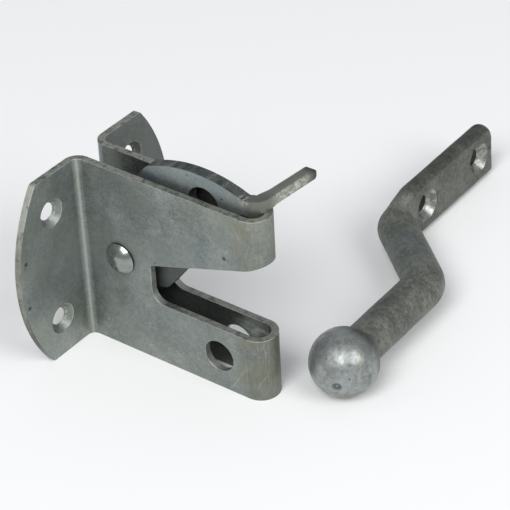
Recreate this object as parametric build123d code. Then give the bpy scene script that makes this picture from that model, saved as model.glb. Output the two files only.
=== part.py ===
from build123d import *
import math
import os

# An automatic gate catch with its striker, in millimetres.
# X points away from the post, with the screw plate's back on X = 0.
# Y runs across the catch, and Z is up as the catch stands in its picture.
# The origin is the middle of the four screws, on the back of the screw plate.

# Folded bracket
plate_height = 60.0
sheet = 2.1
bend_inside = 2.4
cheek_width = 11.1
reach = 64.7
ear_half_width = 32.5
ear_curve = 51.0
ear_corner = 1.6

# Screw holes of the bracket
screw_across = 35.0
screw_apart = 36.0
screw_hole = 5.2
screw_sink = 9.0

# Slot that takes the striker bar, and the padlock hole below it
slot_end = 26.2
slot_floor = -9.5
slot_top_start = 2.6
slot_top_slope = 18.3
slot_floor_round = 4.0
slot_top_round = 1.2
padlock_x = 49.0
padlock_z = -19.3
padlock_hole = 9.8

# Pivot rivet
pivot_x = 15.5
pivot_z = 1.1
rivet_shank = 6.0
rivet_head = 9.8
rivet_rise = 2.9
rivet_tail = 9.0
rivet_tail_rise = 1.8
rivet_rim = 0.2
pivot_play = 0.06

# Swinging pawl, drawn where it rests with its finger on the nose
pawl_thick = 3.6
pawl_slant = 52.1
pawl_slant_out = 15.0
heel_slant = 15.0
heel_round = 3.5
crown_round = 41.5
crown_x = 41.5
crown_top = 36.6
hook_tip_x = 19.6
hook_tip_width = 1.6
hook_slant = 50.0
pawl_hole = 10.6
pawl_hole_reach = 38.7
pawl_hole_angle = 43.0
hook_lead_round = 4.0
hook_tip_round = 0.6
notch_play = 1.0
bar_end_play = 0.3
bar_floor_play = 0.7
swing = 288.0

# Finger bent out of the pawl's end, wider at its root inside the nose
finger_bend = 84.0
finger_bend_inside = 1.0
finger_width = 3.8
finger_lift = 0.1
finger_foot_x = 58.25
finger_root_x = 56.2
finger_root_y = 0.9
finger_root_round = 0.6
finger_reach = 22.3
finger_tip_round = 2.6
valley_x = 57.4
valley_round = 1.5

# Striker bar, lying beside the catch
bar = 12.5
ball = 20.2
ball_to_bend = 42.6
crank_along = 22.5
crank_out = 24.9
crank_round = 7.4
tongue_length = 51.8
tongue_thick = 6.5
tongue_height = 18.5
tongue_end_break = 0.6
tongue_end_round = 3.5
tongue_taper = 9.0
tongue_hole = 5.5
tongue_sink = 11.4
tongue_hole_end = 8.1
tongue_hole_gap = 30.0
striker_x = 79.0
striker_y = 12.1
striker_heading = 1.3

# Values worked out from the sizes above
half_height = plate_height / 2
half_cheek = cheek_width / 2
nose_x = reach - half_cheek
ground = -half_height
finger_low = half_height + finger_lift
bar_round = bar / 2
ball_round = ball / 2
through = 4 * ear_half_width
slot_grade = math.tan(math.radians(slot_top_slope))


def polar(x, z, distance, angle):
    turn = math.radians(angle)
    return x + distance * math.cos(turn), z + distance * math.sin(turn)


def across(profile, width):
    """A profile drawn in X and Z, as thick as width and centred on Y = 0."""
    return extrude(Plane.XZ * profile, width / 2, both=True)


# Bracket
def sheet_plan():
    """The bent sheet seen from above: ears, cheeks and the round nose."""
    outside = Pos(nose_x / 2, 0) * Rectangle(nose_x, cheek_width) + Pos(nose_x, 0) * Circle(half_cheek)
    inside_width = cheek_width - 2 * sheet
    inside = Pos(nose_x / 2, 0) * Rectangle(nose_x, inside_width) + Pos(nose_x, 0) * Circle(inside_width / 2)
    ears = Pos(sheet / 2, 0) * Rectangle(sheet, 2 * ear_half_width)
    plan = outside + ears - inside
    hollow = [v for v in plan.vertices() if abs(v.X - sheet) < 0.01 and abs(abs(v.Y) - half_cheek) < 0.01]
    plan = fillet(hollow, bend_inside)
    crest = [v for v in plan.vertices() if abs(v.X) < 0.01 and abs(v.Y) < half_cheek]
    return fillet(crest, bend_inside + sheet)


def ear_outline():
    """The plate seen from the front, with its two curved sides."""
    centre = ear_curve - ear_half_width
    outline = Pos(centre, 0) * Circle(ear_curve) & Pos(-centre, 0) * Circle(ear_curve)
    outline &= Rectangle(2 * ear_half_width, plate_height)
    return fillet(outline.vertices(), ear_corner)


def slot_profile():
    """The mouth that both cheeks and the nose share."""
    far = reach + cheek_width
    rise = slot_top_start + (far - slot_end) * slot_grade
    outline = Polyline((slot_end, slot_floor), (far, slot_floor), (far, rise), (slot_end, slot_top_start), close=True)
    profile = make_face(outline)
    end = profile.vertices().filter_by(lambda v: abs(v.X - slot_end) < 0.01).sort_by(Axis.Y)
    profile = fillet(end[0], slot_floor_round)
    end = profile.vertices().filter_by(lambda v: abs(v.Y - slot_top_start) < 0.01)
    return fillet(end, slot_top_round)


def screw_cut():
    """One countersunk hole, drawn with its wide end up."""
    sink_depth = (screw_sink - screw_hole) / 2
    cone = Pos(0, 0, sheet - sink_depth / 2) * Cone(screw_hole / 2, screw_sink / 2, sink_depth)
    return cone + Cylinder(screw_hole / 2, 3 * sheet)


def make_bracket():
    body = extrude(sheet_plan(), half_height, both=True)
    body &= extrude(Plane.YZ * ear_outline(), reach + cheek_width)
    body -= across(slot_profile(), through)
    body -= across(Pos(padlock_x, padlock_z) * Circle(padlock_hole / 2), through)
    body -= across(Pos(pivot_x, pivot_z) * Circle(rivet_shank / 2), through)
    for y in (-screw_across / 2, screw_across / 2):
        for z in (-screw_apart / 2, screw_apart / 2):
            body -= Pos(0, y, z) * Rot(0, 90, 0) * screw_cut()
    return body


# Rivet
def rivet_end(radius, rise):
    """A domed head with a thin straight rim, standing on Z = 0."""
    rim = rivet_rim * rise
    swell = (radius ** 2 + (rise - rim) ** 2) / (2 * (rise - rim))
    dome = Pos(0, 0, rise - swell) * Sphere(swell) & Cylinder(radius, rise, align=(Align.CENTER, Align.CENTER, Align.MIN))
    return dome


def make_rivet():
    """Domed head on the front cheek, shank through both, and a flatter head at the back."""
    body = Cylinder(rivet_shank / 2, cheek_width + rivet_rim)
    body += Pos(0, 0, half_cheek) * rivet_end(rivet_head / 2, rivet_rise)
    body += Pos(0, 0, -half_cheek) * Rot(180, 0, 0) * rivet_end(rivet_tail / 2, rivet_tail_rise)
    return Pos(pivot_x, 0, pivot_z) * Rot(90, 0, 0) * body


# Pawl
def slant_z(x):
    """Height of the pawl's long slanting edge."""
    turn = math.radians(pawl_slant)
    foot_x, foot_z = polar(pivot_x, pivot_z, pawl_slant_out, pawl_slant - 90)
    return foot_z + (x - foot_x) * math.tan(turn)


def crown_z(x):
    """Height of the pawl's crowned top."""
    return crown_top - crown_round + math.sqrt(crown_round ** 2 - (x - crown_x) ** 2)


def meet_crown(start, slope):
    """Where a line from start, rising at slope, leaves the crown's circle."""
    along = (math.cos(math.radians(slope)), math.sin(math.radians(slope)))
    off = (start[0] - crown_x, start[1] - crown_top + crown_round)
    inward = off[0] * along[0] + off[1] * along[1]
    reach_out = math.sqrt(inward ** 2 - off[0] ** 2 - off[1] ** 2 + crown_round ** 2) - inward
    return start[0] + reach_out * along[0], start[1] + reach_out * along[1]


def bar_seat():
    """Where the bar lies in the pawl once the pawl has swung over it, drawn at rest."""
    bar_x = slot_end + bar_round + bar_end_play
    bar_z = slot_floor + bar_round + bar_floor_play
    reach_out = math.hypot(bar_x - pivot_x, bar_z - pivot_z)
    angle = math.degrees(math.atan2(bar_z - pivot_z, bar_x - pivot_x)) - swing + 360
    return reach_out, angle


def pawl_outline():
    """Eye, slanting edge, crowned top, and the hook over the notch for the bar."""
    seat_reach, seat_angle = bar_seat()
    gap = bar_round + notch_play
    eye, hook = seat_reach - gap, seat_reach + gap
    seat = polar(pivot_x, pivot_z, seat_reach, seat_angle)
    tip = (hook_tip_x, pivot_z + math.sqrt(hook ** 2 - (hook_tip_x - pivot_x) ** 2))
    tip_top = (hook_tip_x, tip[1] + hook_tip_width)
    lead = meet_crown(tip_top, hook_slant)
    heel = polar(pivot_x, pivot_z, eye, heel_slant - 90)
    heel_grade = math.tan(math.radians(heel_slant))
    slant_grade = math.tan(math.radians(pawl_slant))
    corner_x = (slant_z(0) - heel[1] + heel[0] * heel_grade) / (heel_grade - slant_grade)
    corner = (corner_x, slant_z(corner_x))
    root = (finger_root_x, slant_z(finger_root_x))
    foot = (finger_foot_x, root[1])
    top = (finger_foot_x, finger_low + finger_width)
    outline = Line(heel, corner)
    outline += Line(corner, root)
    outline += Line(root, foot)
    outline += Line(foot, top)
    outline += Line(top, (valley_x, crown_z(valley_x)))
    middle = (valley_x + lead[0]) / 2
    outline += ThreePointArc((valley_x, crown_z(valley_x)), (middle, crown_z(middle)), lead)
    outline += Line(lead, tip_top)
    outline += Line(tip_top, tip)
    hook_end = polar(pivot_x, pivot_z, hook, seat_angle)
    tip_angle = math.degrees(math.atan2(tip[1] - pivot_z, tip[0] - pivot_x))
    outline += ThreePointArc(tip, polar(pivot_x, pivot_z, hook, (seat_angle + tip_angle) / 2), hook_end)
    eye_start = polar(pivot_x, pivot_z, eye, seat_angle)
    outline += ThreePointArc(hook_end, polar(*seat, gap, seat_angle - 90), eye_start)
    outline += ThreePointArc(eye_start, polar(pivot_x, pivot_z, eye, 180), heel)
    face = make_face(outline)
    rounds = [(corner, heel_round), (lead, hook_lead_round), (tip_top, hook_tip_round), (tip, hook_tip_round),
              ((valley_x, crown_z(valley_x)), valley_round)]
    for place, radius in rounds:
        face = fillet(face.vertices().sort_by_distance((*place, 0))[0], radius)
    return face


def make_finger():
    """A strip as thick as the pawl, bent out to the back over the nose, with a rounded tip."""
    half = pawl_thick / 2
    turn = math.radians(finger_bend)
    inner, outer = finger_bend_inside, finger_bend_inside + pawl_thick

    def on_bend(radius, angle):
        return finger_foot_x + radius * math.sin(angle), half + inner - radius * math.cos(angle)

    a, b = on_bend(outer, turn), on_bend(inner, turn)
    lean = math.cos(turn) / math.sin(turn)
    far_a = (a[0] + (finger_reach - a[1]) * lean, finger_reach)
    far_b = (b[0] + (finger_reach - b[1]) * lean, finger_reach)
    outline = Line((finger_foot_x, half), (finger_foot_x, -half))
    outline += ThreePointArc((finger_foot_x, -half), on_bend(outer, turn / 2), a)
    outline += Line(a, far_a)
    outline += Line(far_a, far_b)
    outline += Line(far_b, b)
    outline += ThreePointArc(b, on_bend(inner, turn / 2), (finger_foot_x, half))
    low, top = slant_z(finger_root_x), finger_low + finger_width
    strip = extrude(Pos(0, 0, low) * make_face(outline), top - low)
    side = Polyline((-half, low), (finger_root_y, low), (finger_root_y, finger_low), (finger_reach, finger_low),
                    (finger_reach, top), (-half, top), close=True)
    side = make_face(side)
    side = fillet(side.vertices().sort_by_distance((finger_root_y, low, 0))[0], finger_root_round)
    side = fillet(side.vertices().sort_by_distance((finger_root_y, finger_low, 0))[0], finger_root_round / 2)
    side = fillet(side.vertices().sort_by_distance((finger_reach, top, 0))[0], finger_tip_round)
    return strip & extrude(Plane.YZ * side, reach + cheek_width)


def make_pawl():
    plate = across(pawl_outline(), pawl_thick)
    plate += make_finger()
    plate -= across(Pos(pivot_x, pivot_z) * Circle(rivet_shank / 2 + pivot_play), through)
    hole = polar(pivot_x, pivot_z, pawl_hole_reach, pawl_hole_angle)
    plate -= across(Pos(*hole) * Circle(pawl_hole / 2), through)
    return plate


# Striker
def make_striker():
    """A round bar with a ball at one end, cranked twice, and flattened for two screws."""
    bend_two = (-crank_out, ball_to_bend + crank_along)
    end_y = bend_two[1] + tongue_length
    flat_y = bend_two[1] + tongue_taper
    neck = tongue_taper / 2
    route = FilletPolyline((0, 0), (0, ball_to_bend), bend_two, (-crank_out, flat_y - neck), radius=crank_round)
    start = Plane(origin=(0, 0, 0), x_dir=(1, 0, 0), z_dir=(0, 1, 0))
    body = sweep(start * Circle(bar_round), path=route)
    body += Sphere(ball_round)
    body += make_tongue(flat_y - neck, flat_y, end_y)
    return body


def make_tongue(near_y, flat_y, end_y):
    """The flattened end, in line with the bar, with two countersunk holes."""
    flat = SlotOverall(tongue_height, tongue_thick, rotation=90)
    at = Plane(origin=(-crank_out, flat_y, 0), x_dir=(1, 0, 0), z_dir=(0, -1, 0))
    near = Plane(origin=(-crank_out, near_y, 0), x_dir=(1, 0, 0), z_dir=(0, -1, 0))
    tongue = extrude(at * flat, -(end_y - flat_y))
    corners = tongue.edges().filter_by(lambda e: abs(e.center().Y - end_y) < 0.01)
    tongue = chamfer(corners, tongue_end_break)
    side = Pos((near_y + end_y) / 2, 0) * Rectangle(end_y - near_y, tongue_height)
    side = fillet(side.vertices().sort_by_distance((end_y, tongue_height / 2, 0))[0], tongue_end_round)
    tongue &= Pos(-crank_out, 0, 0) * extrude(Plane.YZ * side, tongue_thick, both=True)
    tongue += loft([near * Circle(bar_round), at * flat])
    sink_depth = (tongue_sink - tongue_hole) / 2
    for y in (end_y - tongue_hole_end, end_y - tongue_hole_end - tongue_hole_gap):
        cone = Pos(0, 0, -sink_depth / 2) * Cone(tongue_hole / 2, tongue_sink / 2, sink_depth)
        cut = cone + Cylinder(tongue_hole / 2, 3 * tongue_thick)
        tongue -= Pos(-crank_out + tongue_thick / 2, y, 0) * Rot(0, 90, 0) * cut
    return tongue


def place_striker(body):
    """Lay the striker on its ball and its tongue, on the plane that the catch stands on."""
    edge = tongue_thick / 2
    drop = tongue_height / 2 - edge
    lean = math.asin((ball_round - edge) / math.hypot(crank_out, drop)) - math.atan2(drop, crank_out)
    lean = math.degrees(lean)
    laid = Rot(0, -lean, 0) * body
    low = laid.bounding_box().min.Z
    return Pos(striker_x, striker_y, ground - low) * Rot(0, 0, striker_heading) * laid


def main():
    os.makedirs("parts", exist_ok=True)
    pieces = {
        "catch_bracket": make_bracket(),
        "pivot_rivet": make_rivet(),
        "pawl": make_pawl(),
        "striker": place_striker(make_striker()),
    }
    for name, piece in pieces.items():
        export_step(piece, "parts/" + name + ".step")


main()
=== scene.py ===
"""An automatic gate catch and its striker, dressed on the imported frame."""

import math

import bmesh
import bpy
from bpy.props import FloatProperty, FloatVectorProperty, PointerProperty
from mathutils import Matrix, Vector, noise


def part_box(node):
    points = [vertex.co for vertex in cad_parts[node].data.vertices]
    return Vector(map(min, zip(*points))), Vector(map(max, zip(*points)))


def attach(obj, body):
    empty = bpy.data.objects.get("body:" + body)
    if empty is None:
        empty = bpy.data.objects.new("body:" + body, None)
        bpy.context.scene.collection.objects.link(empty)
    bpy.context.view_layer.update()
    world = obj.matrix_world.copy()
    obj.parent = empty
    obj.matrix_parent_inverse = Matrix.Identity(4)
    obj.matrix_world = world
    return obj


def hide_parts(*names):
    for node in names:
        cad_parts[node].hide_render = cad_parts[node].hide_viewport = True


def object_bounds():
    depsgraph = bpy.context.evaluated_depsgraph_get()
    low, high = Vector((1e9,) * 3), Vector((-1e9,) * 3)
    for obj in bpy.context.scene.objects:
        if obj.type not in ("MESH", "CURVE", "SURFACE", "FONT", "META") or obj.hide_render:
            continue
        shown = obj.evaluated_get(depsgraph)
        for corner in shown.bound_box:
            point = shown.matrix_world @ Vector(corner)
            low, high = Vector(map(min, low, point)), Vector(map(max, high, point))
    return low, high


bl_info = {
    "name": "Gate Catch",
    "version": (1, 0, 0),
    "blender": (4, 5, 0),
    "location": "3D View > Sidebar > Gate Catch",
    "description": "Zinc-plated gate catch with a swinging pawl and a forged striker",
    "category": "Object",
}

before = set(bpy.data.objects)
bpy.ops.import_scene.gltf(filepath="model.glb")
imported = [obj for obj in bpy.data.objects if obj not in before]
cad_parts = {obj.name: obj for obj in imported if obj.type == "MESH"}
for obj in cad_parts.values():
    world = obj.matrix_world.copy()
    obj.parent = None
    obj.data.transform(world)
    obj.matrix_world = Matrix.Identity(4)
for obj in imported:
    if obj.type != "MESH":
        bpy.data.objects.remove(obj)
cad_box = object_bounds()
MM = 0.001


def length(name, description, default):
    """A size of the object, in metres."""
    return FloatProperty(name=name, description=description, default=default, unit="LENGTH",
                         precision=5)


def tone(name, description, default):
    """A linear colour."""
    return FloatVectorProperty(name=name, description=description, default=default, subtype="COLOR",
                               size=3, min=0.0, max=1.0)


# Sizes and colours
class CatchSizes(bpy.types.PropertyGroup):
    """Sizes of the folded bracket, the pawl and the rivet."""
    sheet: length("Sheet", "Thickness of the bracket's sheet", 2.1 * MM)
    fold_inside: length("Fold inside", "Inside radius where an ear turns into a cheek", 2.4 * MM)
    cheeks_end: length("Cheeks' end", "Where the straight cheeks turn into the nose", 59.15 * MM)
    rim_round: length("Rim rounding", "Rounding of the sheared rims", 0.3 * MM)
    pivot_x: length("Pivot out", "Distance of the rivet from the post", 15.5 * MM)
    pivot_z: length("Pivot up", "Height of the rivet over the plate's middle", 1.1 * MM)
    cheek_width: length("Cheeks' width", "Width over both cheeks", 11.1 * MM)
    rivet_head: length("Rivet head", "Diameter of the rivet's domed head", 9.8 * MM)
    rivet_rise: length("Rivet rise", "Height of the rivet's domed head", 2.9 * MM)
    rivet_tail: length("Rivet tail", "Diameter of the rivet's flatter head at the back", 9.0 * MM)
    rivet_tail_rise: length("Rivet tail rise", "Height of the rivet's flatter head", 1.8 * MM)
    finger_start: length("Finger start", "Start of the finger's bend, out from the post", 58.3 * MM)
    finger_x: length("Finger foot out", "Middle of the finger just past its bend", 61.0 * MM)
    finger_y: length("Finger foot", "Where the straight finger begins, across the catch", 2.0 * MM)
    finger_z: length("Finger height", "Middle of the finger over the plate's middle", 32.0 * MM)
    finger_reach: length("Finger reach", "The finger's tip, across from the middle", 22.3 * MM)
    finger_thick: length("Finger thickness", "Thickness of the finger", 3.6 * MM)
    finger_width: length("Finger width", "Height of the finger's faces", 3.8 * MM)
    finger_round: length("Finger rounding", "Worn rounding of the finger's edges", 1.15 * MM)
    finger_lean: FloatProperty(name="Finger lean", default=math.radians(6.0), subtype="ANGLE",
                               description="How far the finger turns out from square")


class StrikerSizes(bpy.types.PropertyGroup):
    """Sizes of the forged striker."""
    bar: length("Bar", "Diameter of the round bar", 12.5 * MM)
    ball: length("Ball", "Diameter of the ball", 20.2 * MM)
    first_run: length("First run", "From the ball's middle to the first bend", 42.6 * MM)
    crank_along: length("Crank along", "Advance of the cranked run", 22.5 * MM)
    crank_out: length("Crank out", "Offset of the cranked run", 24.9 * MM)
    bend_round: length("Bend radius", "Radius of each bend on the bar's middle line", 7.4 * MM)
    tongue: length("Tongue", "From the second bend to the tongue's end", 51.8 * MM)
    tongue_thick: length("Tongue thickness", "Thickness of the flattened tongue", 6.5 * MM)
    tongue_height: length("Tongue height", "Height of the flattened tongue", 18.5 * MM)
    tongue_taper: length("Tongue taper", "Where the flat begins, past the second bend", 9.0 * MM)
    tongue_corner: length("Tongue corner", "Rounding of the tongue's upper end corner", 3.5 * MM)
    press: length("Press mark", "Depth of the pressed faces of the tongue", 0.35 * MM)
    hole: length("Screw hole", "Diameter of the screw holes", 5.5 * MM)
    sink: length("Countersink", "Diameter of the countersinks", 11.4 * MM)
    hole_end: length("End hole", "From the tongue's end to the first hole", 8.1 * MM)
    hole_gap: length("Hole gap", "Between the two holes", 30.0 * MM)
    heading: FloatProperty(name="Heading", description="Turn of the striker on the ground",
                           default=math.radians(1.3), subtype="ANGLE")
    skin_cell: length("Skin cell", "Mesh size of the forged skin", 0.42 * MM)
    lumps: length("Lumps", "Depth of the forging's broad lumps", 0.16 * MM)
    pits: length("Pits", "Depth of the forging's fine pitting", 0.05 * MM)


class Finishes(bpy.types.PropertyGroup):
    """Colours of the surfaces and of the stage."""
    zinc: tone("Zinc", "Plated sheet", (0.129, 0.149, 0.143))
    # Light zinc also paints light on the ears and reflections inside the channel.
    zinc_light: tone("Light zinc", "Brighter clouds in the plating", (0.355, 0.385, 0.364))
    olive: tone("Olive", "Warm tint of the nose, the finger and patches", (0.225, 0.228, 0.168))
    # The rim colour also paints highlights along the folds, the pawl's rounded edges and the
    # finger's bend.
    rim: tone("Rim", "Bared rims, flecks and scratches", (0.56, 0.57, 0.49))
    # The stain colour also paints shade: in the folds, inside the channel, low on the nose, on the
    # back ear, on the pawl's hook, at the ball's neck, on the tongue and in the dimple.
    stain_and_shade: tone("Stain", "Dark specks and grime in corners", (0.020, 0.021, 0.018))
    # The pawl colour also paints a highlight streak on the crank.
    pawl: tone("Pawl", "Plated pawl, and cool patches elsewhere", (0.180, 0.228, 0.244))
    torn: tone("Torn edge", "Dark torn edges and the finger's tip", (0.075, 0.078, 0.066))
    rivet: tone("Rivet", "Smooth plated rivet", (0.30, 0.325, 0.305))
    forged: tone("Forged", "Galvanised forging", (0.085, 0.091, 0.075))
    forged_light: tone("Light forging", "Brighter zinc on the forging", (0.270, 0.285, 0.250))
    # The ball's colour is partly painted light.
    ball: tone("Ball", "Rubbed zinc of the ball", (0.345, 0.370, 0.378))
    drilled: tone("Drilled", "Bright walls of the striker's countersinks", (0.40, 0.42, 0.39))
    floor: tone("Floor", "Pale floor", (0.91, 0.91, 0.905))
    floor_shade: tone("Floor shade", "Faint clouds of the floor", (0.86, 0.86, 0.86))
    world: tone("World", "Even light from all round", (0.36, 0.37, 0.39))


class View(bpy.types.PropertyGroup):
    """The camera that looks at the catch as its picture does."""
    azimuth: FloatProperty(name="Azimuth", description="Turn round the catch from its front cheek",
                           default=math.radians(38.51), subtype="ANGLE")
    elevation: FloatProperty(name="Elevation", description="Height of the view",
                             default=math.radians(35.11), subtype="ANGLE")
    roll: FloatProperty(name="Roll", description="Tilt of the picture", default=math.radians(-3.04),
                        subtype="ANGLE")
    lens: FloatProperty(name="Lens", description="Focal length on a 36 mm frame", default=164.05,
                        unit="CAMERA")
    distance: length("Distance", "From the camera to the point it looks at", 664.0 * MM)
    across: length("Across", "The point looked at, along the picture's width", 46.66 * MM)
    above: length("Above", "The point looked at, along the picture's height", -5.82 * MM)


# Materials
# Places of single marks in millimetres, the pits' with their outer and inner reach
SHEET_SPECKS = ((52.8, -5.55, 15.3), (2.1, -29.6, 7.8), (2.1, -30.1, -6.9))
# Place of a painted highlight where the pawl's top edge kinks into the finger
FINGER_BEND_HIGHLIGHT = (57.4, -1.2, 33.4)
# Place of a painted highlight streak on the crank
CRANK_HIGHLIGHT = (66.0, 62.2, -14.0)
TONGUE_PITS = (((55.0, 117.4, -16.2), 1.3, 0.7), ((55.0, 126.6, -19.6), 1.1, 0.6))
# The Mix node's sockets for colours
MIX_FACTOR, MIX_UNDER, MIX_OVER, MIX_RESULT = 0, 6, 7, 2


class Value:
    """A node's output. Arithmetic on it adds the Math nodes."""

    def __init__(self, finish, socket):
        self.finish = finish
        self.socket = socket

    def math(self, operation, *values):
        return self.finish.node("ShaderNodeMath", {"operation": operation}, dict(enumerate(values)))

    def __add__(self, other):
        return self.math("ADD", self, other)

    def __radd__(self, other):
        return self.math("ADD", other, self)

    def __sub__(self, other):
        return self.math("SUBTRACT", self, other)

    def __rsub__(self, other):
        return self.math("SUBTRACT", other, self)

    def __mul__(self, other):
        return self.math("MULTIPLY", self, other)

    def __rmul__(self, other):
        return self.math("MULTIPLY", other, self)

    def __abs__(self):
        return self.math("ABSOLUTE", self)

    def between(self, low, high):
        """0 at low, 1 at high, smooth in between."""
        return self.finish.node("ShaderNodeMapRange", {"interpolation_type": "SMOOTHSTEP"},
                                {"Value": self, "From Min": low, "From Max": high})


class Finish:
    """A material under construction, with the colour that it has so far."""

    def __init__(self, name, metallic, colour):
        self.material = bpy.data.materials.new(name)
        self.material.use_nodes = True
        self.tree = self.material.node_tree
        self.shader = self.tree.nodes["Principled BSDF"]
        self.shader.inputs["Metallic"].default_value = metallic
        self.place = self.node("ShaderNodeTexCoord", {}, {}, "Object")
        self.colour = colour

    def node(self, kind, settings, sockets, output=0):
        """Adds a node, sets it up and returns one of its outputs."""
        made = self.tree.nodes.new(kind)
        for name, value in settings.items():
            setattr(made, name, value)
        for name, value in sockets.items():
            self.feed(made.inputs[name], value)
        return Value(self, made.outputs[output])

    def feed(self, socket, value):
        """Links a Value to a socket, or sets the socket to a plain value."""
        if isinstance(value, Value):
            self.tree.links.new(value.socket, socket)
        else:
            socket.default_value = value

    def coat(self, amount, over):
        """Lays an amount of a colour over the finish, 0 for none and 1 to hide what is under it."""
        under = self.colour if isinstance(self.colour, Value) else (*self.colour, 1.0)
        sockets = {MIX_FACTOR: amount, MIX_UNDER: under, MIX_OVER: (*over, 1.0)}
        self.colour = self.node("ShaderNodeMix", {"data_type": "RGBA"}, sockets, MIX_RESULT)

    def stretched(self, scale):
        """The object's own coordinates, stretched."""
        return self.node("ShaderNodeMapping", {}, {"Vector": self.place, "Scale": scale})

    def clouds(self, scale, detail=4.0, roughness=0.55, place=None, distortion=0.0):
        """Soft noise, with a scale per metre."""
        return self.node("ShaderNodeTexNoise", {},
                         {"Vector": place or self.place, "Scale": scale, "Detail": detail,
                          "Roughness": roughness, "Distortion": distortion})

    def dots(self, scale, outer, inner, share):
        """Specks with a scale per metre, full within inner of their middles, none beyond outer."""
        cell = self.node("ShaderNodeTexVoronoi", {}, {"Vector": self.place, "Scale": scale})
        return cell.between(outer, inner) * share

    def axis(self, name):
        """One coordinate of the object, in metres."""
        return self.node("ShaderNodeSeparateXYZ", {}, {"Vector": self.place}, name)

    def away(self, spot, place=None):
        """The distance from a spot."""
        return self.node("ShaderNodeVectorMath", {"operation": "DISTANCE"},
                         {0: place or self.place, 1: spot}, "Value")

    def near(self, spot, outer, inner):
        """1 within inner of a spot, 0 beyond outer, all in millimetres."""
        return self.away([value * MM for value in spot]).between(outer * MM, inner * MM)

    def mark(self, name):
        """An attribute painted on the mesh."""
        return self.node("ShaderNodeAttribute", {"attribute_name": name}, {}, "Fac")

    def done(self, roughness, height, strength, depth):
        """The material, with its colour, its roughness and a bump of the given depth."""
        bump = self.node("ShaderNodeBump", {},
                         {"Strength": strength, "Distance": depth, "Height": height})
        self.feed(self.shader.inputs["Base Color"], self.colour)
        self.feed(self.shader.inputs["Roughness"], roughness)
        self.feed(self.shader.inputs["Normal"], bump)
        return self.material


def plate(finish, finishes):
    """Lays clouded zinc with fine flecks and specks. Returns its clouds and its grain."""
    broad = finish.clouds(60.0, 5.0, 0.6)
    fine = finish.clouds(620.0, 4.0, 0.7)
    grain = finish.clouds(2100.0, 3.0, 0.7)
    cloud = broad.between(0.36, 0.64) * 0.42 + fine.between(0.36, 0.64) * 0.22
    cloud = cloud + grain.between(0.38, 0.62) * 0.36
    finish.coat(cloud, finishes.zinc_light)
    flecks = finish.dots(720.0, 0.24, 0.10, finish.clouds(240.0, 3.0, 0.6).between(0.54, 0.64))
    finish.coat(flecks * 0.5, finishes.rim)
    specks = finish.dots(330.0, 0.16, 0.08, finish.clouds(110.0, 2.0).between(0.60, 0.68))
    finish.coat(specks * 0.8, finishes.stain_and_shade)
    return cloud, fine + grain * 0.5


def paint_fold_shade_and_highlight(finish, finishes, sizes, out, off):
    """Paints shade into the folds a little and a highlight along the line of each one."""
    half = sizes.cheek_width / 2
    fold = off.between(half + 4.5 * MM, half + 2.4 * MM)
    fold = fold * out.between(sizes.sheet + 4.5 * MM, sizes.sheet + 2.4 * MM)
    crease_highlight = fold * abs(out - off + (half - sizes.sheet)).between(1.0 * MM, 0.0)
    # Painted shade on the folds' flanks and a painted highlight along each crease.
    finish.coat((fold - crease_highlight) * 0.06, finishes.stain_and_shade)
    finish.coat(crease_highlight * 0.38, finishes.rim)


def scratch_cheeks(finish, finishes, sizes, out, side, up):
    """Scratches the cheeks in arcs round the pivot, as the pawl swings. Returns the scratches."""
    pivot = finish.away((sizes.pivot_x, 0.0, sizes.pivot_z), finish.stretched((1.0, 0.0, 1.0)))
    arcs = finish.node("ShaderNodeCombineXYZ", {},
                       {"X": pivot * 1300.0, "Y": up * 60.0, "Z": side * 60.0})
    scratches = finish.clouds(1.0, 3.0, 0.6, arcs).between(0.60, 0.74)
    scratches = scratches * pivot.between(14 * MM, 24 * MM)
    scratches = scratches * finish.clouds(70.0, 2.0).between(0.48, 0.62)
    scratches = scratches * out.between(18 * MM, 24 * MM)
    finish.coat(scratches * 0.34, finishes.rim)
    brushed = finish.clouds(1.0, 3.0, 0.6, finish.stretched((190.0, 190.0, 2900.0)))
    finish.coat(brushed.between(0.56, 0.74) * 0.16, finishes.stain_and_shade)
    return scratches


def wear_rims(finish, finishes, side, up, patches):
    """Bares and nicks the sheared rims, and dulls the front ear's. Returns the rims."""
    rim = finish.mark("rim")
    finish.coat(rim * finish.clouds(420.0, 4.0, 0.7).between(0.30, 0.56) * 0.78, finishes.rim)
    finish.coat(rim * finish.clouds(330.0, 4.0, 0.75).between(0.55, 0.66) * 0.5, finishes.stain_and_shade)
    low = up.between(22 * MM, 6 * MM) * 0.58 + up.between(4 * MM, -16 * MM) * 0.22
    dulled = rim * side.between(-14 * MM, -20 * MM) * low
    finish.coat(dulled * (0.80 + 0.40 * patches), finishes.torn)
    return rim


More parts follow.
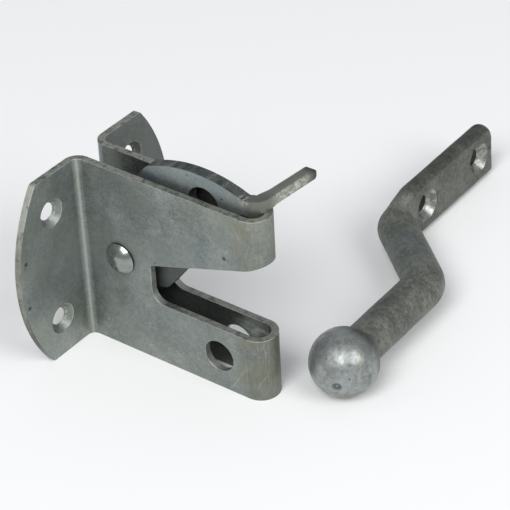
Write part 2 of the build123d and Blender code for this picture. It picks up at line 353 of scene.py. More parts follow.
def zinc_sheet(finishes, sizes):
    """The bracket's plated sheet: an olive nose, rubbed rims and scratches round the pivot, with
    painted shade and painted light.
    """
    finish = Finish("zinc_sheet", 0.80, finishes.zinc)
    cloud, fine = plate(finish, finishes)
    out, side, up = finish.axis("X"), finish.axis("Y"), finish.axis("Z")
    nose = out.between(sizes.cheeks_end - 7 * MM, sizes.cheeks_end + 3 * MM)
    patches = finish.clouds(80.0, 4.0, 0.6).between(0.40, 0.64)
    finish.coat(finish.clouds(38.0, 3.0, 0.55).between(0.46, 0.62) * 0.30, finishes.pawl)
    finish.coat(nose * (0.25 + 0.45 * patches) + patches * 0.30, finishes.olive)
    paint_fold_shade_and_highlight(finish, finishes, sizes, out, abs(side))
    # Lighter low on the cheeks, and painted light on the ears' outer faces.
    rubbed = up.between(-5 * MM, -16 * MM) * out.between(24 * MM, 40 * MM) * (1.0 - nose)
    finish.coat((rubbed + out.between(3.2 * MM, 2.4 * MM)) * 0.16, finishes.zinc_light)
    # Painted shade low on the nose and on the back ear, behind the cheeks.
    painted_shade = nose * up.between(0.0, -24 * MM) * 0.20 + side.between(6 * MM, 8 * MM) * 0.32
    finish.coat(painted_shade, finishes.stain_and_shade)
    drawn = finish.clouds(1.0, 4.0, 0.65, finish.stretched((2600.0, 2600.0, 260.0)))
    finish.coat(nose * drawn.between(0.50, 0.78) * 0.32, finishes.torn)
    finish.coat(nose * drawn.between(0.50, 0.26) * 0.25, finishes.rim)
    scratches = scratch_cheeks(finish, finishes, sizes, out, side, up)
    # Painted shade inside the channel.
    inside = finish.mark("inside")
    finish.coat(inside * 0.52, finishes.stain_and_shade)
    # Light patches inside the channel: partly scuffs, partly painted reflections.
    scuffs_and_reflections = finish.clouds(1.0, 4.0, 0.65, finish.stretched((150.0, 150.0, 330.0)))
    scuffs_and_reflections = inside * scuffs_and_reflections.between(0.52, 0.66) * out.between(44 * MM, 58 * MM)
    finish.coat(scuffs_and_reflections * 0.55, finishes.zinc_light)
    rim = wear_rims(finish, finishes, side, up, patches)
    for spot in SHEET_SPECKS:
        finish.coat(finish.near(spot, 0.9, 0.35) * 0.75, finishes.stain_and_shade)
    roughness = 0.40 + cloud * 0.16 + nose * 0.04 - scratches * 0.06 - inside * 0.16
    height = fine * 0.6 + drawn * nose * 0.8 + rim * finish.clouds(700.0, 4.0, 0.7) * 1.2
    height = height + finish.clouds(75.0, 2.0) * 2.2
    return finish.done(roughness, height, 0.35, 0.10 * MM)


def pawl_steel(finishes, sizes):
    """The pawl's plate: bluish faces, dark torn rims and a rubbed finger, with painted highlights
    and painted shade on the hook.
    """
    finish = Finish("pawl_steel", 0.80, finishes.pawl)
    cloud, fine = plate(finish, finishes)
    out, along, up = finish.axis("X"), finish.axis("Y"), finish.axis("Z")
    torn = finish.clouds(420.0, 5.0, 0.72, finish.stretched((1.0, 0.40, 1.0)))
    finger = out.between(sizes.finger_start - 1.5 * MM, sizes.finger_start + 1.5 * MM)
    sheared = finish.mark("rim") * (1.0 - finger)
    finish.coat(sheared * 0.80, finishes.torn)
    finish.coat(sheared * torn.between(0.54, 0.74) * 0.75, finishes.rim)
    finish.coat(sheared * torn.between(0.52, 0.38) * 0.55, finishes.stain_and_shade)
    # A painted highlight along the rounded edges, on bared zinc.
    finish.coat(sheared.between(0.93, 1.0) * 0.52, finishes.rim)
    mottled = finish.clouds(620.0, 4.0, 0.7, distortion=0.4).between(0.42, 0.58)
    rubbed = finish.mark("bent") * along.between(3 * MM, 7 * MM) * along.between(19 * MM, 16 * MM)
    finish.coat(finger * 0.60, finishes.olive)
    finish.coat(rubbed * (0.15 + 0.85 * mottled), finishes.rim)
    finish.coat(along.between(17.5 * MM, 20.8 * MM) * 0.92, finishes.torn)
    finish.coat(along.between(19.5 * MM, 21.8 * MM) * 0.45, finishes.stain_and_shade)
    finish.coat(finger * along.between(6 * MM, 2 * MM) * 0.35, finishes.torn)
    # A painted highlight where the pawl's top edge kinks into the finger.
    bend_highlight = finish.near(FINGER_BEND_HIGHLIGHT, 2.2, 1.0) * torn.between(0.40, 0.52)
    finish.coat(bend_highlight * 0.9, finishes.rim)
    # Painted shade on the hook, down between the cheeks.
    hook_shade = up.between(8 * MM, 2 * MM) * out.between(47 * MM, 38 * MM)
    finish.coat(hook_shade * 0.70, finishes.stain_and_shade)
    roughness = 0.38 + cloud * 0.14 + sheared * 0.16 - rubbed * mottled * 0.12 - bend_highlight * 0.20
    height = fine * 0.5 + sheared * torn * 2.2 + rubbed * mottled * 2.4
    height = height + finish.clouds(80.0, 1.0) * 2.0
    return finish.done(roughness, height, 0.45, 0.12 * MM)


def rivet_steel(finishes):
    """The rivet: smooth and bright, a little dented from setting, and darker round its rim."""
    finish = Finish("rivet_steel", 0.95, finishes.rivet)
    dents = finish.clouds(300.0, 1.0, 0.4)
    film = finish.clouds(900.0, 4.0, 0.6)
    finish.coat(film.between(0.4, 0.75) * 0.35, finishes.zinc)
    finish.coat(finish.mark("rim") * 0.8, finishes.stain_and_shade)
    return finish.done(0.19 + film * 0.14, dents, 0.7, 0.42 * MM)


def forged_steel(finishes):
    """The striker's galvanised forging: mottled and matt, with brighter rubbed zinc on the ball
    that is partly painted light, painted shade at the neck and in the dimple, and a painted
    highlight on the crank.
    """
    finish = Finish("forged_steel", 0.72, finishes.forged)
    broad = finish.clouds(95.0, 5.0, 0.65, distortion=0.5)
    fine = finish.clouds(640.0, 5.0, 0.72)
    grain = finish.clouds(2200.0, 3.0, 0.7)
    ball = finish.mark("ball")
    cloud = broad.between(0.38, 0.64) * 0.36 + fine.between(0.40, 0.62) * 0.36
    cloud = cloud + grain.between(0.40, 0.62) * 0.28
    finish.coat(cloud, finishes.forged_light)
    rubbed = finish.clouds(150.0, 5.0, 0.65, distortion=0.6).between(0.36, 0.60) * 0.60
    rubbed = rubbed + fine.between(0.38, 0.62) * 0.40
    # The ball's brighter zinc: partly rubbed zinc, partly painted light, and fading into painted
    # shade towards the bar.
    finish.coat(ball * (0.20 + 0.80 * rubbed), finishes.ball)
    finish.coat(ball * finish.clouds(85.0, 3.0, 0.6).between(0.50, 0.62) * 0.45, finishes.olive)
    # Painted shade where the ball turns into its neck.
    neck_shade = ball.between(0.0, 0.45) * ball.between(1.0, 0.55)
    finish.coat(neck_shade * 0.60, finishes.stain_and_shade)
    # A painted highlight streak on the crank, in the pawl's cool colour.
    finish.coat(finish.near(CRANK_HIGHLIGHT, 13, 3) * (0.35 + 0.65 * rubbed) * 0.42, finishes.pawl)
    scars = finish.clouds(48.0, 3.0, 0.6).between(0.56, 0.66) * fine.between(0.40, 0.56)
    finish.coat(scars * 0.55, finishes.stain_and_shade)
    tongue = finish.axis("Y").between(80 * MM, 88 * MM)
    # Darker on the tongue, and less so on its pressed faces: partly a smoother pressed skin, partly
    # painted light on those faces.
    finish.coat(tongue * (0.42 - finish.mark("flat") * 0.22), finishes.stain_and_shade)
    dimple = finish.mark("dimple")
    # Painted shade in a ring on the dimple's wall.
    finish.coat(dimple.between(0.0, 0.5) * dimple.between(1.0, 0.6) * 0.7, finishes.stain_and_shade)
    holes = finish.near(*TONGUE_PITS[0]) + finish.near(*TONGUE_PITS[1])
    finish.coat(holes * 0.85, finishes.stain_and_shade)
    pits = finish.dots(460.0, 0.16, 0.07, finish.clouds(130.0, 2.0).between(0.56, 0.66))
    finish.coat(pits * 0.8, finishes.stain_and_shade)
    roughness = 0.52 + cloud * 0.12 - ball * (0.06 + rubbed * 0.20)
    lumps = finish.clouds(210.0, 3.0, 0.55)
    height = fine * 0.9 + broad * 1.6 + grain * 0.35 - pits * 1.2 + ball * lumps * 4.0 - holes * 6.0
    return finish.done(roughness, height, 0.5, 0.14 * MM)


def drilled_steel(finishes):
    """The striker's countersinks: cut after forging, brighter, under a patchy dark film."""
    finish = Finish("drilled_steel", 0.9, finishes.drilled)
    film = finish.clouds(420.0, 4.0, 0.65)
    finish.coat(film.between(0.38, 0.62) * 0.70, finishes.forged)
    return finish.done(0.28 + film * 0.18, film, 0.35, 0.10 * MM)


def floor_paint(finishes):
    """A matt pale floor with the faintest unevenness."""
    finish = Finish("floor_paint", 0.0, finishes.floor)
    cloud = finish.clouds(6.0, 2.0)
    finish.coat(cloud * 0.04, finishes.floor_shade)
    return finish.done(0.85 + cloud * 0.05, cloud, 0.02, 0.1 * MM)


# Mesh helpers
MERGE_DISTANCE = 0.002 * MM
FLAT_ANGLE = math.radians(0.5)
SHARP_ANGLE = math.radians(38)
SHADE_ANGLE = math.radians(34)
RIM_STEPS = 3


def piece(name, bm, materials):
    """A finished object from a bmesh, at the frame's origin."""
    mesh = bpy.data.meshes.new(name)
    bm.to_mesh(mesh)
    bm.free()
    made = bpy.data.objects.new(name, mesh)
    bpy.context.scene.collection.objects.link(made)
    for material in materials:
        mesh.materials.append(material)
    return made


def hand_over(made, node, body):
    """The dressed piece stands for its CAD node and moves with its body."""
    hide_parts(node)
    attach(made, body)


def merged_copy(node):
    """A copy of a CAD node's mesh, joined up and with its flat triangles made whole faces."""
    bm = bmesh.new()
    bm.from_mesh(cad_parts[node].data)
    bmesh.ops.remove_doubles(bm, verts=bm.verts, dist=MERGE_DISTANCE)
    bmesh.ops.dissolve_limit(bm, angle_limit=FLAT_ANGLE, verts=bm.verts, edges=bm.edges)
    if not bm.faces:
        raise RuntimeError(f"The node {node} has no surface to dress.")
    return bm


def is_sharp(edge):
    return edge.is_manifold and edge.calc_face_angle() > SHARP_ANGLE


def round_rims(bm, radius, sheared):
    """Rounds every sharp edge. Marks the rounding as rim, and each face as far as it is sheared."""
    rim = bm.faces.layers.float.new("rim")
    for face in bm.faces:
        face[rim] = sheared(face)
    sharp = [edge for edge in bm.edges if is_sharp(edge)]
    made = bmesh.ops.bevel(bm, geom=sharp, offset=radius, offset_type="OFFSET", affect="EDGES",
                           segments=RIM_STEPS, profile=0.5, material=-1, clamp_overlap=True)
    rounded = set(made["faces"])
    for face in bm.faces:
        face.smooth = True
        if face in rounded:
            face[rim] = 1.0
    for edge in bm.edges:
        sides = [face in rounded for face in edge.link_faces]
        edge.smooth = len(set(sides)) == 1 and edge.calc_face_angle(0.0) < SHADE_ANGLE


# Bracket, pawl and rivet
# How far the zinc is worn off the rims, from 0 to 1, and how high the bracket's upper rims begin
EAR_WEAR, TOP_WEAR, CHEEK_WEAR, PAWL_WEAR = 0.95, 0.80, 0.55, 0.9
TOP_RIMS = 20 * MM
# Where the finger's mesh is cut: in millimetres across the catch, and in shares of its rounding
FINGER_CUTS = (2.8, 3.5, 4.3, 5.2, 6.2, 7.5)
ROUNDING_CUTS = (0.0, 0.12, 0.3, 0.6, 1.0, 1.5)
FINGER_SHADE_ANGLE = math.radians(50)
# An upright rim's share of a rivet head's rise, and the shank's share of its width
HEAD_RIM, SHANK = 0.2, 0.55
HEAD_STEPS, RIVET_SIDES = 10, 72
HEAD_SHADE_ANGLE = math.radians(30)


class CATCH_OT_bracket(bpy.types.Operator):
    """Dress the catch's folded bracket with rounded sheared rims"""
    bl_idname = "catch.bracket"
    bl_label = "Bracket"

    def execute(self, context):
        sizes, finishes = context.scene.catch_sizes, context.scene.catch_finishes

        def sheared(face):
            middle, normal = face.calc_center_median(), face.normal
            if middle.x < sizes.sheet + 0.01 * MM:
                return EAR_WEAR if abs(normal.x) < 0.7 else 0.0
            if sizes.sheet + sizes.fold_inside < middle.x < sizes.cheeks_end:
                worn = TOP_WEAR if middle.z > TOP_RIMS else CHEEK_WEAR
                return worn if abs(normal.y) < 0.7 else 0.0
            return CHEEK_WEAR if abs(normal.z) > 0.3 else 0.0

        bm = merged_copy("catch_bracket")
        round_rims(bm, sizes.rim_round, sheared)
        inside = bm.faces.layers.float.new("inside")
        inner = sizes.cheek_width / 2 - sizes.sheet
        for face in bm.faces:
            middle = face.calc_center_median()
            off = math.hypot(max(0.0, middle.x - sizes.cheeks_end), middle.y)
            face[inside] = 1.0 if off < inner + 0.05 * MM and middle.x > sizes.sheet else 0.0
        made = piece("folded_bracket", bm, [zinc_sheet(finishes, sizes)])
        hand_over(made, "catch_bracket", "catch")
        return {"FINISHED"}


class CATCH_OT_pawl(bpy.types.Operator):
    """Shape the swinging pawl with its bent finger"""
    bl_idname = "catch.pawl"
    bl_label = "Pawl"

    def execute(self, context):
        sizes, finishes = context.scene.catch_sizes, context.scene.catch_finishes

        def on_finger(face):
            return face.calc_center_median().x > sizes.finger_start + 0.4 * MM

        def sheared(face):
            if on_finger(face):
                return PAWL_WEAR if abs(face.normal.z) > 0.6 or face.normal.y > 0.75 else 0.0
            return PAWL_WEAR if abs(face.normal.y) < 0.5 else 0.0

        bm = merged_copy("pawl")
        round_rims(bm, sizes.rim_round, sheared)
        self.rub_finger(bm, sizes)
        bent = bm.faces.layers.float.new("bent")
        for face in bm.faces:
            face[bent] = 1.0 if on_finger(face) and face.normal.x > 0.5 else 0.0
        made = piece("bent_pawl", bm, [pawl_steel(finishes, sizes)])
        hand_over(made, "pawl", "pawl")
        return {"FINISHED"}

    def rub_finger(self, bm, sizes):
        """Rounds the finger's long edges and its tip, more and more along it."""
        lean, worn = math.tan(sizes.finger_lean), sizes.finger_round
        half_x = sizes.finger_thick / 2 / math.cos(sizes.finger_lean)
        half_z = sizes.finger_width / 2
        foot = Vector((sizes.finger_x, sizes.finger_y, sizes.finger_z))
        growth, tip_run, tip_round = 5 * MM, 3 * MM, 0.95 * half_x - worn
        across = (0.0, 1.0, 0.0)
        cuts = [((0.0, y * MM, 0.0), across) for y in FINGER_CUTS]
        for share in ROUNDING_CUTS:
            into = share * worn
            cuts.append(((0.0, sizes.finger_reach - into, 0.0), across))
            for side in (-1, 1):
                cuts.append((foot + Vector((side * (half_x - into), 0.0, 0.0)), (1.0, -lean, 0.0)))
                cuts.append((foot + Vector((0.0, 0.0, side * (half_z - into))), (0.0, 0.0, 1.0)))
        for spot, normal in cuts:
            faces = [face for face in bm.faces if face.calc_center_median().y > foot.y]
            edges = {edge for face in faces for edge in face.edges}
            verts = {vert for face in faces for vert in face.verts}
            bmesh.ops.bisect_plane(bm, geom=[*faces, *edges, *verts], plane_co=spot,
                                   plane_no=normal, dist=0.005 * MM)
        for vert in bm.verts:
            if vert.co.y <= foot.y:
                continue
            middle = foot.x + (vert.co.y - foot.y) * lean
            grown = min(1.0, (vert.co.y - foot.y) / growth)
            tip = max(0.0, 1 - (sizes.finger_reach - vert.co.y) / tip_run)
            radius = worn * grown * grown * (3 - 2 * grown) + tip_round * tip * tip
            core = Vector((max(radius - half_x, min(half_x - radius, vert.co.x - middle)) + middle,
                           min(sizes.finger_reach - radius, vert.co.y),
                           max(radius - half_z, min(half_z - radius, vert.co.z - foot.z)) + foot.z))
            off = vert.co - core
            if off.length > radius:
                vert.co = core + off * (radius / off.length)
        for edge in bm.edges:
            if edge.verts[0].co.y > foot.y and edge.verts[1].co.y > foot.y:
                edge.smooth = edge.calc_face_angle(0.0) < FINGER_SHADE_ANGLE


def rivet_head(bm, radius, rise, foot, side):
    """A domed head turned from an arc, standing on a cheek at foot, out towards side."""
    rim_rise = HEAD_RIM * rise
    swell = (radius ** 2 + (rise - rim_rise) ** 2) / (2 * (rise - rim_rise))
    apex = bmesh.ops.create_vert(bm, co=(0.0, side * (foot + rise), 0.0))["vert"]
    centre = (0.0, side * (foot + rise - swell), 0.0)
    arc = bmesh.ops.spin(bm, geom=apex, cent=centre, axis=(0.0, 0.0, 1.0), dvec=(0.0, 0.0, 0.0),
                         angle=-side * math.asin(radius / swell), steps=HEAD_STEPS)
    last = [v for v in arc["geom_last"] if isinstance(v, bmesh.types.BMVert)]
    down = bmesh.ops.extrude_vert_indiv(bm, verts=last)["verts"]
    down[0].co.y = side * foot
    inner = bmesh.ops.extrude_vert_indiv(bm, verts=down)["verts"]
    inner[0].co.x *= SHANK


class CATCH_OT_rivet(bpy.types.Operator):
    """Turn the pivot rivet with its domed head and its flatter tail"""
    bl_idname = "catch.rivet"
    bl_label = "Rivet"

    def execute(self, context):
        sizes, finishes = context.scene.catch_sizes, context.scene.catch_finishes
        bm = bmesh.new()
        foot = sizes.cheek_width / 2
        rivet_head(bm, sizes.rivet_head / 2, sizes.rivet_rise, foot, -1)
        rivet_head(bm, sizes.rivet_tail / 2, sizes.rivet_tail_rise, foot, 1)
        inner = [v for v in bm.verts if len(v.link_edges) == 1 and abs(v.co.x) > 1 * MM]
        bmesh.ops.contextual_create(bm, geom=inner)
        bmesh.ops.spin(bm, geom=bm.verts[:] + bm.edges[:], cent=(0.0, 0.0, 0.0),
                       axis=(0.0, 1.0, 0.0), dvec=(0.0, 0.0, 0.0), angle=math.tau,
                       steps=RIVET_SIDES, use_merge=True)
        bmesh.ops.remove_doubles(bm, verts=bm.verts, dist=MERGE_DISTANCE)
        if not all(edge.is_manifold for edge in bm.edges):
            raise RuntimeError("The rivet didn't close.")
        bmesh.ops.recalc_face_normals(bm, faces=bm.faces)
        bmesh.ops.translate(bm, verts=bm.verts, vec=(sizes.pivot_x, 0.0, sizes.pivot_z))
        rim = bm.faces.layers.float.new("rim")
        for face in bm.faces:
            face.smooth = True
            face[rim] = 1.0 if abs(face.normal.y) < 0.4 else 0.0
        for edge in bm.edges:
            edge.smooth = edge.calc_face_angle(0.0) < HEAD_SHADE_ANGLE
        made = piece("set_rivet", bm, [rivet_steel(finishes)])
        hand_over(made, "pivot_rivet", "catch")
        return {"FINISHED"}


# Striker
BALL_ROUNDS, BAR_SIDES, HOLE_SIDES = 5, 72, 48
TURN_STEPS, SPREAD_STEPS, TAPER_STEPS, CORNER_STEPS = 12, 16, 8, 8
# Scales of the forging's noise, per metre
BROAD_LUMPS, MIDDLE_LUMPS, FINE_PITS = 95.0, 240.0, 900.0
# The dimple's direction from the ball's middle, its radius and its depth
DIMPLE_TOWARDS, DIMPLE_RADIUS, DIMPLE_DEPTH = Vector((0.36, -0.92, -0.13)), 1.8 * MM, 0.55 * MM


def ring_of(geometry):
    return [item for item in geometry if isinstance(item, bmesh.types.BMEdge)]


def draw_out(bm, ring, vector):
    """Extrudes an end ring straight along, and returns the new ring's edges and vertices."""
    made = bmesh.ops.extrude_edge_only(bm, edges=ring)["geom"]
    verts = [item for item in made if isinstance(item, bmesh.types.BMVert)]
    bmesh.ops.translate(bm, verts=verts, vec=vector)
    edges = [edge for edge in ring_of(made) if edge.verts[0] in verts and edge.verts[1] in verts]
    return edges, verts


def turn(bm, ring, centre, angle):
    """Bends an end ring round a centre, and returns the new ring."""
    made = bmesh.ops.spin(bm, geom=ring, cent=centre, axis=(0.0, 0.0, 1.0), dvec=(0.0, 0.0, 0.0),
                          angle=angle, steps=TURN_STEPS)
    return ring_of(made["geom_last"])


def flat_section(sizes, angle, top):
    """A point of the tongue's outline: two pressed faces between round edges, up to a given top."""
    half = sizes.tongue_thick / 2
    centre, reach = (top - sizes.tongue_height / 2) / 2, (top + sizes.tongue_height / 2) / 2 - half
    c, s = math.cos(angle), math.sin(angle)
    along = half / max(abs(c), 1e-6)
    if abs(s) * along > reach:
        along = reach * abs(s) + math.sqrt(max(0.0, half ** 2 - (reach * c) ** 2))
    face = half - sizes.press
    return max(-face, min(face, along * c)), centre + along * s


def reshape(verts, sizes, centre, side, share, top):
    """Gives a ring the bar's round outline, the tongue's flat one, or a smooth blend of both."""
    blend = share * share * (3 - 2 * share)
    for vert in verts:
        off = vert.co - centre
        angle = math.atan2(off.z, off.dot(side))
        x, z = flat_section(sizes, angle, top)
        round_x, round_z = sizes.bar / 2 * math.cos(angle), sizes.bar / 2 * math.sin(angle)
        vert.co = centre + side * (round_x + (x - round_x) * blend)
        vert.co.z += round_z + (z - round_z) * blend


def striker_body(sizes):
    """Ball, cranked bar and tongue as closed shells, along Y from the ball."""
    bm = bmesh.new()
    bmesh.ops.create_icosphere(bm, subdivisions=BALL_ROUNDS, radius=sizes.ball / 2)
    start = bmesh.ops.create_circle(bm, cap_ends=True, segments=BAR_SIDES, radius=sizes.bar / 2,
                                    matrix=Matrix.Rotation(math.pi / 2, 4, "X"))["verts"]
    ring = [edge for edge in bm.edges if edge.verts[0] in start and edge.verts[1] in start]
    bend = math.atan2(sizes.crank_out, sizes.crank_along)
    setback = sizes.bend_round * math.tan(bend / 2)
    run = math.hypot(sizes.crank_out, sizes.crank_along) - 2 * setback
    first_bend = sizes.first_run - setback
    ring, _ = draw_out(bm, ring, (0.0, first_bend, 0.0))
    ring = turn(bm, ring, (-sizes.bend_round, first_bend, 0.0), bend)
    along = Vector((-math.sin(bend), math.cos(bend), 0.0))
    ring, _ = draw_out(bm, ring, along * run)
    corner_y = sizes.first_run + sizes.crank_along
    pivot = Vector((sizes.bend_round - sizes.crank_out, corner_y + setback, 0.0))
    bend_length = sizes.bend_round * bend
    total = bend_length + sizes.tongue_taper - setback
    full = sizes.tongue_height / 2
    for step in range(1, SPREAD_STEPS + 1):
        angle = bend * (1 - step / SPREAD_STEPS)
        side = Vector((math.cos(angle), math.sin(angle), 0.0))
        ring, verts = draw_out(bm, ring, (0.0, 0.0, 0.0))
        centre = pivot - side * sizes.bend_round
        rotate = Matrix.Rotation(-bend / SPREAD_STEPS, 3, "Z")
        bmesh.ops.rotate(bm, cent=pivot, matrix=rotate, verts=verts)
        share = bend_length * step / SPREAD_STEPS / total
        reshape(verts, sizes, centre, side, share, full)
    side = Vector((1.0, 0.0, 0.0))
    tongue_end = corner_y + sizes.tongue
    last = corner_y + setback
    taper = sizes.tongue_taper - setback
    stations = [last + taper * k / TAPER_STEPS for k in range(1, TAPER_STEPS + 1)]
    stations += [tongue_end - sizes.tongue_corner * math.cos(math.radians(90 / CORNER_STEPS * k))
                 for k in range(CORNER_STEPS + 1)]
    for y in stations:
        ring, verts = draw_out(bm, ring, (0.0, y - last, 0.0))
        share = min(1.0, (bend_length + y - corner_y - setback) / total)
        into = max(0.0, y - tongue_end + sizes.tongue_corner)
        drop = sizes.tongue_corner - math.sqrt(max(0.0, sizes.tongue_corner ** 2 - into ** 2))
        reshape(verts, sizes, Vector((-sizes.crank_out, y, 0.0)), side, share, full - drop)
        last = y
    bmesh.ops.edgeloop_fill(bm, edges=ring)
    bmesh.ops.recalc_face_normals(bm, faces=bm.faces)
    return bm, tongue_end


def with_modifier(made, kind, **settings):
    """Applies one modifier to an object's mesh."""
    modifier = made.modifiers.new(kind.title(), kind)
    for name, value in settings.items():
        setattr(modifier, name, value)
    depsgraph = bpy.context.evaluated_depsgraph_get()
    mesh = bpy.data.meshes.new_from_object(made.evaluated_get(depsgraph))
    made.modifiers.clear()
    made.data = mesh
    if not mesh.polygons:
        raise RuntimeError(f"The {kind.lower()} step left nothing of {made.name}.")


def hammer(bm, sizes):
    """Broad lumps and fine pitting, pressed inwards so that the forging keeps its size."""
    ball = bm.verts.layers.float.new("ball")
    flat = bm.verts.layers.float.new("flat")
    dent = bm.verts.layers.float.new("dimple")
    slack, neck_start, neck_length = 0.08 * MM, 0.5 * MM, 8 * MM
    face = sizes.tongue_thick / 2 - sizes.press - slack
    flat_from = sizes.first_run + sizes.crank_along + sizes.tongue_taper - 1 * MM
    dimple = DIMPLE_TOWARDS.normalized() * (sizes.ball / 2)
    for vert in bm.verts:
        broad = noise.noise(vert.co * BROAD_LUMPS) + 0.6 * noise.noise(vert.co * MIDDLE_LUMPS)
        fine = noise.noise(vert.co * FINE_PITS)
        depth = sizes.lumps * (0.5 + 0.4 * broad) + sizes.pits * (0.5 + 0.5 * fine)
        away = min(1.0, (vert.co - dimple).length / DIMPLE_RADIUS)
        depth += DIMPLE_DEPTH * (1 - away * away) ** 2
        vert[dent] = 1.0 - away
        pressed = vert.co.y > flat_from and abs(vert.co.x + sizes.crank_out) > face
        vert[flat] = 1.0 if pressed and abs(vert.normal.x) > 0.9 else 0.0
        vert.co -= vert.normal * depth
        # The ball's share, 1 at its middle and 0 at its neck: the lighter zinc that the material
        # gives the ball fades out along it, which paints shade towards the bar.
        vert[ball] = 1.0 - min(1.0, max(0.0, (vert.co.y - neck_start) / neck_length))


class CATCH_OT_striker(bpy.types.Operator):
    """Forge the striker: ball, cranked bar and drilled tongue"""
    bl_idname = "catch.striker"
    bl_label = "Striker"

    def execute(self, context):
        sizes, finishes = context.scene.striker_sizes, context.scene.catch_finishes
        body, end = striker_body(sizes)
        made = piece("forged_striker", body, [])
        with_modifier(made, "REMESH", mode="VOXEL", voxel_size=sizes.skin_cell,
                      use_smooth_shade=True)
        bm = bmesh.new()
        bm.from_mesh(made.data)
        bmesh.ops.smooth_vert(bm, verts=bm.verts, factor=0.5, use_axis_x=True, use_axis_y=True,
                              use_axis_z=True)
        bm.normal_update()
        hammer(bm, sizes)
        for face in bm.faces:
            face.smooth = True
        bm.to_mesh(made.data)
        bm.free()
        made.data.materials.append(forged_steel(finishes))
        self.drill(made, sizes, finishes, end)
        self.lay(made, sizes)
        hand_over(made, "striker", "catch")
        return {"FINISHED"}

    def cutter(self, name, material, places, foot, head, depth):
        """Cones along X through the given places, to cut the screw holes with."""
        bm = bmesh.new()
        for place in places:
            lie = Matrix.Translation(place) @ Matrix.Rotation(math.pi / 2, 4, "Y")
            bmesh.ops.create_cone(bm, cap_ends=True, segments=HOLE_SIDES, radius1=foot,
                                  radius2=head, depth=depth, matrix=lie)
        return piece(name, bm, [material])

    def drill(self, made, sizes, finishes, end):
        """Cuts the two countersunk screw holes through the tongue."""
        face = -sizes.crank_out + sizes.tongue_thick / 2
        depth, proud = (sizes.sink - sizes.hole) / 2, 0.5 * MM
        rows = (end - sizes.hole_end, end - sizes.hole_end - sizes.hole_gap)
        sinks = self.cutter("sink_cutter", drilled_steel(finishes),
                            [(face - depth / 2 + proud / 2, y, 0.0) for y in rows],
                            sizes.hole / 2, sizes.sink / 2 + proud, depth + proud)
        holes = self.cutter("hole_cutter", made.data.materials[0],
                            [(-sizes.crank_out, y, 0.0) for y in rows],
                            sizes.hole / 2, sizes.hole / 2, 3 * sizes.tongue_thick)
        for tool in (sinks, holes):
            with_modifier(made, "BOOLEAN", operation="DIFFERENCE", object=tool, solver="EXACT",
                          material_mode="TRANSFER")
            bpy.data.objects.remove(tool)

    def lay(self, made, sizes):
        """Lays the striker on the ground where its CAD node lies."""
        ball, edge = sizes.ball / 2, sizes.tongue_thick / 2
        drop = sizes.tongue_height / 2 - edge
        lean = math.asin((ball - edge) / math.hypot(sizes.crank_out, drop))
        lean -= math.atan2(drop, sizes.crank_out)
        made.data.transform(Matrix.Rotation(sizes.heading, 4, "Z") @ Matrix.Rotation(-lean, 4, "Y"))
        low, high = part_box("striker")
        made.data.transform(Matrix.Translation((high.x - ball, low.y + ball, low.z + ball)))


# Stage
# Each lamp's place and diameter in metres, and its power in watts
LAMPS = {
    "key": ((0.45, -1.50, 1.65), 1.30, 33.5),
    "side": ((1.60, -0.20, 1.25), 1.20, 17.0),
}
FLOOR_REACH = 1.5


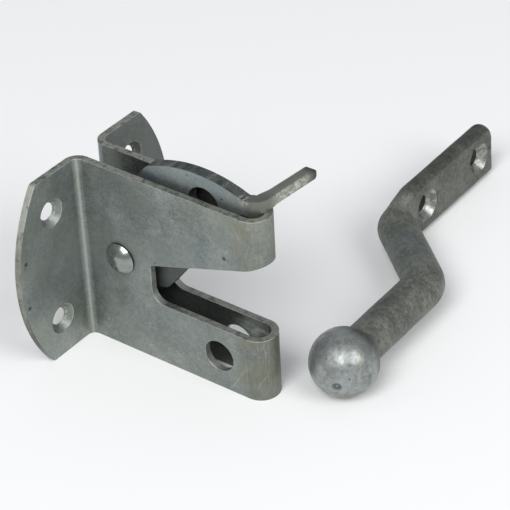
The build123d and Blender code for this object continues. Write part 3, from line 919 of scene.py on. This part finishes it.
class CATCH_OT_stage(bpy.types.Operator):
    """Set the pale floor, the soft lamps and the camera"""
    bl_idname = "catch.stage"
    bl_label = "Stage"

    def execute(self, context):
        finishes = context.scene.catch_finishes
        bm = bmesh.new()
        bmesh.ops.create_grid(bm, x_segments=8, y_segments=8, size=FLOOR_REACH)
        bmesh.ops.translate(bm, verts=bm.verts, vec=(0.0, 0.0, cad_box[0].z))
        piece("floor", bm, [floor_paint(finishes)])
        self.light(context, finishes)
        self.camera(context)
        return {"FINISHED"}

    def light(self, context, finishes):
        """Lights the scene from all round and from the soft lamps, which look at the origin."""
        world = bpy.data.worlds.new("studio")
        world.use_nodes = True
        world.node_tree.nodes["Background"].inputs["Color"].default_value = (*finishes.world, 1.0)
        context.scene.world = world
        for name, (spot, size, power) in LAMPS.items():
            data = bpy.data.lights.new(name, "AREA")
            data.shape = "DISK"
            data.size = size
            data.energy = power
            lamp = bpy.data.objects.new(name, data)
            aim = Vector(spot).to_track_quat("Z", "Y").to_matrix().to_4x4()
            lamp.matrix_world = Matrix.Translation(spot) @ aim
            context.scene.collection.objects.link(lamp)

    def camera(self, context):
        """Sets the camera where the picture was taken from."""
        view = context.scene.catch_view
        a, e = view.azimuth, view.elevation
        back = Vector((math.sin(a) * math.cos(e), -math.cos(a) * math.cos(e), math.sin(e)))
        level = Vector((math.cos(a), math.sin(a), 0.0))
        up = back.cross(level)
        right = level * math.cos(view.roll) + up * math.sin(view.roll)
        above = up * math.cos(view.roll) - level * math.sin(view.roll)
        spot = right * view.across + above * view.above + back * view.distance
        data = bpy.data.cameras.new("camera")
        data.sensor_width = 36.0
        data.lens = view.lens
        camera = bpy.data.objects.new("camera", data)
        look = Matrix((right, above, back)).transposed().to_4x4()
        camera.matrix_world = Matrix.Translation(spot) @ look
        context.scene.collection.objects.link(camera)
        context.scene.camera = camera


class CATCH_PT_panel(bpy.types.Panel):
    """Lists the catch's pieces and its settings"""
    bl_idname = "CATCH_PT_panel"
    bl_label = "Gate Catch"
    bl_space_type = "VIEW_3D"
    bl_region_type = "UI"
    bl_category = "Gate Catch"

    def draw(self, context):
        for operator in OPERATORS:
            self.layout.operator(operator.bl_idname)
        for group in GROUPS:
            owner = getattr(context.scene, group)
            box = self.layout.box()
            for name in owner.bl_rna.properties.keys():
                if name not in ("rna_type", "name"):
                    box.prop(owner, name)


GROUPS = {
    "catch_sizes": CatchSizes,
    "striker_sizes": StrikerSizes,
    "catch_finishes": Finishes,
    "catch_view": View,
}
OPERATORS = (CATCH_OT_bracket, CATCH_OT_pawl, CATCH_OT_rivet, CATCH_OT_striker, CATCH_OT_stage)


def register():
    for name, group in GROUPS.items():
        bpy.utils.register_class(group)
        setattr(bpy.types.Scene, name, PointerProperty(type=group))
    for operator in OPERATORS:
        bpy.utils.register_class(operator)
    bpy.utils.register_class(CATCH_PT_panel)


def unregister():
    bpy.utils.unregister_class(CATCH_PT_panel)
    for operator in reversed(OPERATORS):
        bpy.utils.unregister_class(operator)
    for name, group in reversed(GROUPS.items()):
        delattr(bpy.types.Scene, name)
        bpy.utils.unregister_class(group)


def main():
    register()
    bpy.ops.catch.bracket()
    bpy.ops.catch.pawl()
    bpy.ops.catch.rivet()
    bpy.ops.catch.striker()
    bpy.ops.catch.stage()
    bpy.context.scene.view_settings.view_transform = "Standard"


if __name__ == "__main__":
    main()
